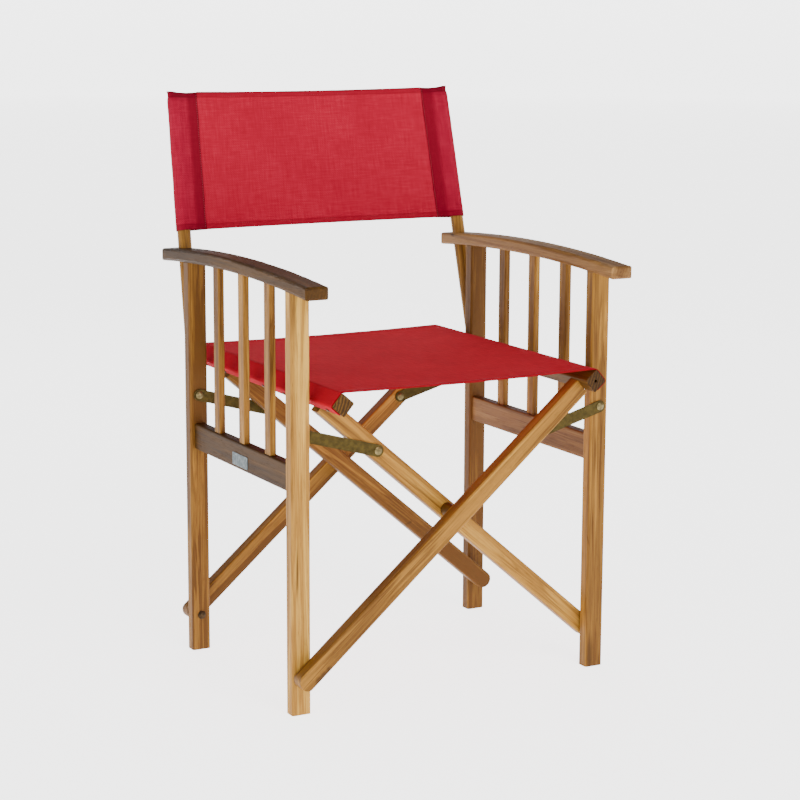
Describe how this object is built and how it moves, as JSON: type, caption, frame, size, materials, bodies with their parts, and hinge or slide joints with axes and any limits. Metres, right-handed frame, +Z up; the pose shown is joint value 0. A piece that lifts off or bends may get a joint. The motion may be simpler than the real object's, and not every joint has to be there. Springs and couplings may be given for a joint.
{
  "type": "folding director chair",
  "caption": "Folding director chair: wooden side frames with arched armrests and slats, crossing bars, flat metal link arms, slung canvas seat and canvas back.",
  "frame": {"origin": "on the floor, at the centre of the chair's bounding rectangle seen from above", "axes": "+X towards the right-hand armrest seen from the front, -Y towards the front of the seat, +Z up"},
  "size_m": [0.543, 0.5488, 0.88],
  "materials": {
    "pale_wood": "oiled",
    "dark_wood": "oiled",
    "red_wood": "oiled",
    "seat_cloth": "woven",
    "back_cloth": "woven",
    "link_metal": "aged",
    "fixing_metal": "satin",
    "label_metal": "satin"
  },
  "bodies": {
    "left_side": {"left_front_leg": "pale_wood", "left_rear_leg": "pale_wood", "left_armrest": "dark_wood", "left_side_rail": "dark_wood", "left_front_slat": "pale_wood", "left_middle_slat": "pale_wood", "left_rear_slat": "pale_wood", "left_back_post": "pale_wood", "left_post_screw": "fixing_metal", "left_pivot_bolts": "fixing_metal", "left_pivot_washers": "fixing_metal", "left_link_screws": "fixing_metal", "label_plate": "label_metal", "back_canvas": "back_cloth"},
    "right_side": {"right_front_leg": "pale_wood", "right_rear_leg": "pale_wood", "right_armrest": "red_wood", "right_side_rail": "red_wood", "right_front_slat": "pale_wood", "right_middle_slat": "pale_wood", "right_rear_slat": "pale_wood", "right_back_post": "pale_wood", "right_post_screw": "fixing_metal", "right_pivot_bolts": "fixing_metal", "right_pivot_washers": "fixing_metal", "right_link_screws": "fixing_metal"},
    "outer_cross": {"outer_front_bar": "pale_wood", "outer_rear_bar": "pale_wood", "right_seat_rail": "dark_wood", "crossing_spacers": "dark_wood", "crossing_pins": "fixing_metal", "right_seat_tacks": "fixing_metal"},
    "inner_cross": {"inner_front_bar": "pale_wood", "inner_rear_bar": "pale_wood", "left_seat_rail": "pale_wood", "left_seat_tacks": "fixing_metal", "seat_canvas": "seat_cloth"},
    "front_left_arm": {"front_left_link": "link_metal", "front_left_rivet": "fixing_metal"},
    "rear_left_arm": {"rear_left_link": "link_metal", "rear_left_rivet": "fixing_metal"},
    "front_right_arm": {"front_right_link": "link_metal", "front_right_rivet": "fixing_metal"},
    "rear_right_arm": {"rear_right_link": "link_metal", "rear_right_rivet": "fixing_metal"}
  },
  "joints": [
    {"name": "fold", "type": "hinge", "parent": "left_side", "child": "outer_cross", "pos_m": [-0.2535, -0.02637, 0.057], "axis": [0, -1, 0], "range_deg": [0, 38.3], "deforming": ["seat_canvas", "back_canvas"]},
    {"name": "crossing", "type": "hinge", "parent": "outer_cross", "child": "inner_cross", "pos_m": [0, -0.02637, 0.27504], "axis": [0, 1, 0], "range_deg": [0, 87.39]},
    {"name": "right_pivot", "type": "hinge", "parent": "inner_cross", "child": "right_side", "pos_m": [0.2535, -0.02637, 0.057], "axis": [0, -1, 0], "range_deg": [0, 38.31]},
    {"name": "front_left_swing", "type": "hinge", "parent": "left_side", "child": "front_left_arm", "pos_m": [-0.2535, -0.19697, 0.414], "axis": [0, -1, 0], "range_deg": [0, 78.98]},
    {"name": "rear_left_swing", "type": "hinge", "parent": "left_side", "child": "rear_left_arm", "pos_m": [-0.2535, 0.14423, 0.414], "axis": [0, -1, 0], "range_deg": [0, 78.98]},
    {"name": "front_right_swing", "type": "hinge", "parent": "right_side", "child": "front_right_arm", "pos_m": [0.2535, -0.22077, 0.414], "axis": [0, 1, 0], "range_deg": [0, 78.98]},
    {"name": "rear_right_swing", "type": "hinge", "parent": "right_side", "child": "rear_right_arm", "pos_m": [0.2535, 0.16803, 0.414], "axis": [0, 1, 0], "range_deg": [0, 78.98]}
  ],
  "couplings": [
    {"joint": "crossing", "follows": "fold", "ratio": 2.2815},
    {"joint": "right_pivot", "follows": "fold", "ratio": 1},
    {"joint": "front_left_swing", "follows": "fold", "ratio": 2.0618},
    {"joint": "rear_left_swing", "follows": "fold", "ratio": 2.0618},
    {"joint": "front_right_swing", "follows": "fold", "ratio": 2.0618},
    {"joint": "rear_right_swing", "follows": "fold", "ratio": 2.0618}
  ]
}
